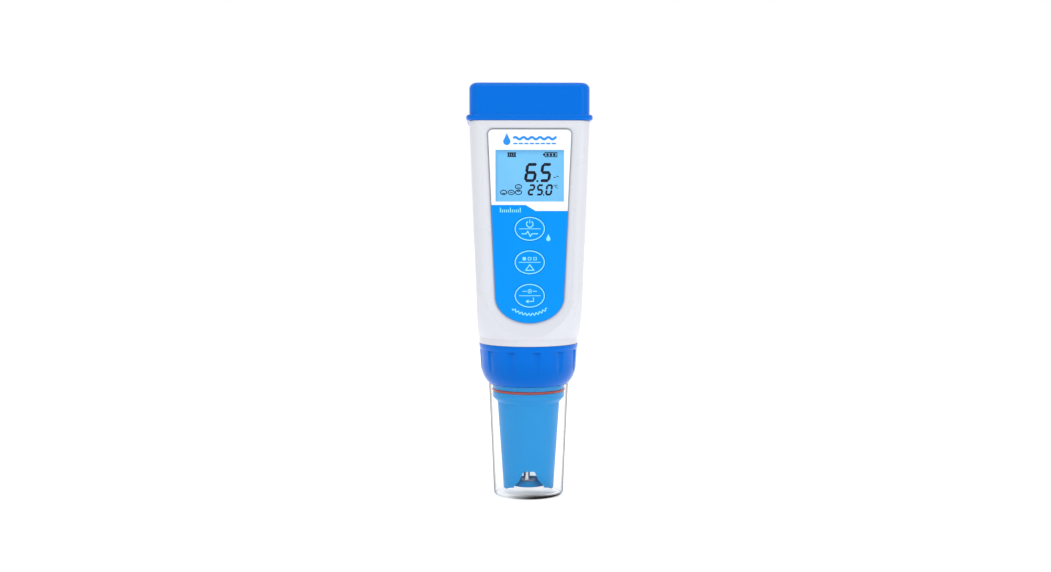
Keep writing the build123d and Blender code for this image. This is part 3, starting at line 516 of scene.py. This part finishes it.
# ---------------------------------------------------------------- thin printed shapes
class Print:
    """Flat marks of even thickness, drawn in X and Z (mm), all in one closed mesh."""

    def __init__(self, surface_y, side=-1, lift=0.03):
        self.low = surface_y - side * 0.01
        self.high = surface_y + side * lift
        self.side = side
        self.points = []
        self.faces = []

    def solid(self, loop_faces, outline, walls):
        """Adds one raised patch. outline is its points, loop_faces its top, walls its side pairs."""
        base = len(self.points)
        count = len(outline)
        for y in (self.low, self.high):
            for x, z in outline:
                self.points.append((x * MM, y * MM, z * MM))
        for face in loop_faces:
            self.faces.append([base + count + i for i in face])
            self.faces.append([base + i for i in reversed(face)])
        for a, b in walls:
            self.faces.append([base + count + b, base + count + a, base + a, base + b])

    def plate(self, *outline):
        """A filled patch inside one outline."""
        order = list(range(len(outline)))
        walls = [(i, (i + 1) % len(outline)) for i in order]
        self.solid([order], outline, walls)

    def box(self, x_low, x_high, z_low, z_high):
        self.plate((x_low, z_low), (x_high, z_low), (x_high, z_high), (x_low, z_high))

    def stroke(self, points, width, closed=False):
        """A line of even width along points."""
        count = len(points)
        left = []
        right = []
        for i, (x, z) in enumerate(points):
            before = points[i - 1] if (i or closed) else None
            after = points[(i + 1) % count] if (i + 1 < count or closed) else None
            ways = []
            if before:
                ways.append((Vector((x, z)) - Vector(before)).normalized())
            if after:
                ways.append((Vector(after) - Vector((x, z))).normalized())
            way = sum(ways, Vector((0, 0))).normalized()
            across = Vector((-way.y, way.x)) * (width / 2) / max(0.5, way.dot(ways[0]))
            left.append((x + across.x, z + across.y))
            right.append((x - across.x, z - across.y))
        faces = []
        walls = []
        for i in range(count if closed else count - 1):
            j = (i + 1) % count
            faces.append([count + i, count + j, j, i])
            walls.append((count + i, count + j))
            walls.append((j, i))
        if not closed:
            walls.append((0, count))
            walls.append((2 * count - 1, count - 1))
        self.solid(faces, left + right, walls)

    def ring(self, x, z, half_x, half_z, width, steps=48):
        points = []
        for i in range(steps):
            turn = 2 * math.pi * i / steps
            points.append((x + half_x * math.cos(turn), z + half_z * math.sin(turn)))
        self.stroke(points, width, closed=True)

    def arc(self, x, z, radius, start, end, width, steps=24):
        points = []
        for i in range(steps + 1):
            turn = math.radians(start + (end - start) * i / steps)
            points.append((x + radius * math.cos(turn), z + radius * math.sin(turn)))
        self.stroke(points, width)

    def disc(self, x, z, radius, steps=20):
        points = []
        for i in range(steps):
            turn = 2 * math.pi * i / steps
            points.append((x + radius * math.cos(turn), z + radius * math.sin(turn)))
        self.plate(*points)

    def drop(self, x, z, size):
        """A water drop, size wide, whose round end is centred at x, z."""
        points = []
        for i in range(25):
            turn = math.radians(-220 + 260 * i / 24)
            points.append((x + size / 2 * math.cos(turn), z + size / 2 * math.sin(turn)))
        points.append((x, z + size * 1.15))
        self.plate(*points)

    def done(self, name, body, look):
        mesh = bpy.data.meshes.new(name)
        mesh.from_pydata(self.points, [], self.faces)
        mesh.materials.append(look)
        piece = bpy.data.objects.new(name, mesh)
        bpy.context.scene.collection.objects.link(piece)
        tidy_normals(mesh)
        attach(piece, body)
        return piece


def tidy_normals(mesh):
    """Points every face of a closed mesh outwards."""
    shape = bmesh.new()
    shape.from_mesh(mesh)
    bmesh.ops.recalc_face_normals(shape, faces=shape.faces)
    shape.to_mesh(mesh)
    shape.free()


# ---------------------------------------------------------------- display marks
SEGMENTS = {"0": "abcdef", "2": "abged", "5": "afgcd", "6": "afgedc"}
LEAN = 0.15


def digit(marks, figure, x, z, wide, tall, thick):
    """One leaning seven-segment figure with its lower left corner at x, z."""
    gap = thick * 0.06
    half = thick / 2
    nose = half * 0.75
    middle = tall / 2

    def lean(px, pz):
        return (x + px + LEAN * pz, z + pz)

    def across(height):
        left = nose + gap
        right = wide - nose - gap
        points = [(left, height), (left + nose, height + half), (right - nose, height + half)]
        points += [(right, height), (right - nose, height - half), (left + nose, height - half)]
        return [lean(*p) for p in points]

    def upright(place, low, high):
        points = [(place, low), (place + half, low + nose), (place + half, high - nose)]
        points += [(place, high), (place - half, high - nose), (place - half, low + nose)]
        return [lean(*p) for p in points]

    bars = {
        "a": across(tall - half),
        "g": across(middle),
        "d": across(half),
        "f": upright(half, middle + gap, tall - half - gap),
        "e": upright(half, half + gap, middle - gap),
        "b": upright(wide - half, middle + gap, tall - half - gap),
        "c": upright(wide - half, half + gap, middle - gap),
    }
    for bar in SEGMENTS[figure]:
        marks.plate(*bars[bar])


def draw_display():
    marks = Print(-17.7)
    digit(marks, "6", -2.4, 130.5, 4.8, 7.7, 1.2)
    digit(marks, "5", 3.75, 130.5, 4.45, 7.7, 1.2)
    marks.box(2.75, 3.55, 130.5, 131.3)
    digit(marks, "2", -0.95, 125.1, 2.75, 4.55, 0.8)
    digit(marks, "5", 2.5, 125.1, 2.7, 4.55, 0.8)
    digit(marks, "0", 6.15, 125.1, 2.75, 4.55, 0.8)
    marks.box(5.4, 5.95, 125.1, 125.65)
    for i in range(4):
        marks.box(-8.84 + 0.86 * i, -8.17 + 0.86 * i, 141.0, 142.05)
    for height in (140.6, 142.05):
        marks.box(-8.95, -5.45, height, height + 0.4)
    marks.stroke([(6.2, 140.7), (11.0, 140.7), (11.0, 142.4), (6.2, 142.4)], 0.34, closed=True)
    marks.box(5.4, 6.05, 141.15, 141.95)
    for i in range(3):
        marks.box(6.75 + 1.35 * i, 7.75 + 1.35 * i, 141.0, 142.1)
    for i, height in enumerate((125.95, 126.36, 126.8)):
        x = (-10.47, -7.42, -4.5)[i]
        marks.ring(x, 126.36, 1.25, 0.88, 0.36)
        marks.box(x - 0.62, x + 0.62, height - 0.16, height + 0.16)
    marks.ring(-4.5, 128.62, 1.25, 0.88, 0.36)
    marks.disc(-4.95, 128.9, 0.15)
    marks.disc(-4.05, 128.9, 0.15)
    marks.arc(-4.5, 128.75, 0.55, 215, 325, 0.22)
    marks.ring(10.1, 129.15, 0.3, 0.3, 0.16, 20)
    marks.arc(11.1, 128.7, 0.6, 50, 310, 0.22)
    marks.box(9.7, 10.6, 132.2, 132.55)
    marks.box(10.85, 11.75, 132.65, 133.0)
    marks.done("display_marks", "meter", ink("display_ink", LCD_INK))


# ---------------------------------------------------------------- panel and key marks
FILM_Y = -20.1
KEY_Y = -20.2
LINE = 0.4


def film_outline():
    """The film's outline in X and Z, 0.1 mm inside its edge."""
    points = []
    for i in range(49):
        turn = math.pi + math.pi * i / 48
        points.append((13.8 * math.cos(turn), 84.2 + 10.6 * math.sin(turn)))
    for i in range(9):
        turn = math.pi / 2 * i / 8
        points.append((14.8 + 2.0 * math.cos(turn), 149.6 + 2.0 * math.sin(turn)))
    for i in range(9):
        turn = math.pi / 2 + math.pi / 2 * i / 8
        points.append((-14.8 + 2.0 * math.cos(turn), 149.6 + 2.0 * math.sin(turn)))
    return points


def draw_panel(light):
    edge = Print(FILM_Y)
    # Painted shadow: a thin dark line round the film's edge.
    edge.stroke(film_outline(), 0.2, closed=True)
    edge.done("film_shadow_line", "meter", edge_shadow_look())
    heading = Print(FILM_Y)
    heading.drop(-9.2, 146.7, 2.9)
    wave = []
    for i in range(61):
        x = -6.6 + 17.4 * i / 60
        wave.append((x, 148.0 + 0.42 * math.sin(x * 1.9)))
    heading.stroke(wave, 0.95)
    for i in range(8):
        heading.box(-6.6 + 2.2 * i, -4.9 + 2.2 * i, 145.6, 146.15)
    blue = ink("heading_ink", (0.02, 0.27, 0.80))
    heading.done("heading_marks", "meter", blue)

    marks = Print(FILM_Y)
    for i in range(11):
        tall = 1.9 if i % 5 == 0 else 1.15
        marks.box(-12.0 + 0.8 * i, -11.62 + 0.8 * i, 118.3, 118.3 + tall)
    marks.drop(7.5, 107.6, 1.7)
    curve = []
    for i in range(97):
        turn = math.radians(-128 + 76 * i / 96)
        radius = 11.3 + 0.42 * math.sin(i * 2 * math.pi / 9.6)
        curve.append((radius * math.cos(turn), 88.4 + radius * math.sin(turn)))
    marks.stroke(curve, 0.40)
    marks.done("panel_marks", "meter", light)


def draw_keys(light):
    power = Print(KEY_Y)
    power.ring(0, 111.7, 5.9, 4.6, LINE, 72)
    power.box(-4.35, 4.35, 111.57, 111.83)
    power.arc(0, 113.62, 1.3, 125, 415, LINE)
    power.box(-0.16, 0.16, 113.9, 115.35)
    pulse = [(-3.3, 109.7), (-1.5, 109.7), (-0.8, 110.7), (0.2, 108.7), (0.9, 109.7), (3.3, 109.7)]
    power.stroke(pulse, LINE)
    power.done("power_marks", "power_key", light)

    mode = Print(KEY_Y)
    mode.ring(0, 98.2, 5.9, 4.6, LINE, 72)
    mode.box(-4.35, 4.35, 98.07, 98.33)
    mode.box(-2.85, -1.55, 99.0, 100.3)
    for x in (-0.65, 1.55):
        mode.stroke([(x, 99.15), (x + 1.15, 99.15), (x + 1.15, 100.15), (x, 100.15)], 0.26, closed=True)
    mode.stroke([(-1.65, 95.0), (1.65, 95.0), (0, 97.25)], LINE, closed=True)
    mode.done("mode_marks", "mode_key", light)

    cal = Print(KEY_Y)
    cal.ring(0, 84.7, 5.9, 4.6, LINE, 72)
    cal.box(-4.35, 4.35, 84.57, 84.83)
    cal.ring(0, 86.5, 0.72, 0.72, 0.26, 28)
    cal.disc(0, 86.5, 0.26)
    for side in (-1, 1):
        low, high = sorted((side * 1.25, side * 2.9))
        cal.box(low, high, 86.35, 86.65)
    cal.stroke([(1.5, 84.0), (1.5, 82.4), (-0.6, 82.4)], 0.36)
    cal.plate((-1.7, 82.4), (-0.5, 81.6), (-0.5, 83.2))
    cal.done("cal_marks", "cal_key", light)


def draw_label():
    """Plain rules and a row of colour patches on the rear label."""
    dark = Print(20.4, side=1)
    dark.stroke([(-11.6, 93.0), (11.6, 93.0), (11.6, 137.0), (-11.6, 137.0)], 0.3, closed=True)
    for z in (126.0, 121.5, 117.0, 112.5, 108.0):
        dark.box(-10.2, 10.2, z - 0.1, z + 0.1)
    for i in range(15):
        tall = 1.6 if i % 7 == 0 else 0.9
        x = -10.5 + 1.5 * i
        dark.box(x - 0.1, x + 0.1, 103.6 - tall, 103.6)
    dark.drop(0, 131.0, 3.4)
    dark.done("label_lines", "meter", ink("label_ink", (0.05, 0.055, 0.07)))
    patches = Print(20.4, side=1)
    for i in range(7):
        patches.box(-10.4 + 3.0 * i, -7.6 + 3.0 * i, 95.2, 100.8)
    patches.done("label_patches", "meter", patches_look())


# ---------------------------------------------------------------- build
make_camera()
make_studio()
make_looks()
# The pale ink glows a little: painted light.
glowing_pale_ink = ink("glowing_pale_ink", PRINT_LIGHT, 0.12)
draw_display()
draw_panel(glowing_pale_ink)
draw_keys(glowing_pale_ink)
draw_label()

floor_mesh = bpy.data.meshes.new("floor")
corners = [(-4, -4, 0), (4, -4, 0), (4, 4, 0), (-4, 4, 0)]
floor_mesh.from_pydata(corners, [], [(0, 1, 2, 3)])
floor = bpy.data.objects.new("floor", floor_mesh)
bpy.context.scene.collection.objects.link(floor)
paper = Recipe("floor_paper", 0.9, 0.1, Base_Color=(0.94, 0.94, 0.94, 1))
paper.set("Emission Color", (1, 1, 1, 1))
paper.set("Emission Strength", 0.36)
floor.data.materials.append(paper.material)
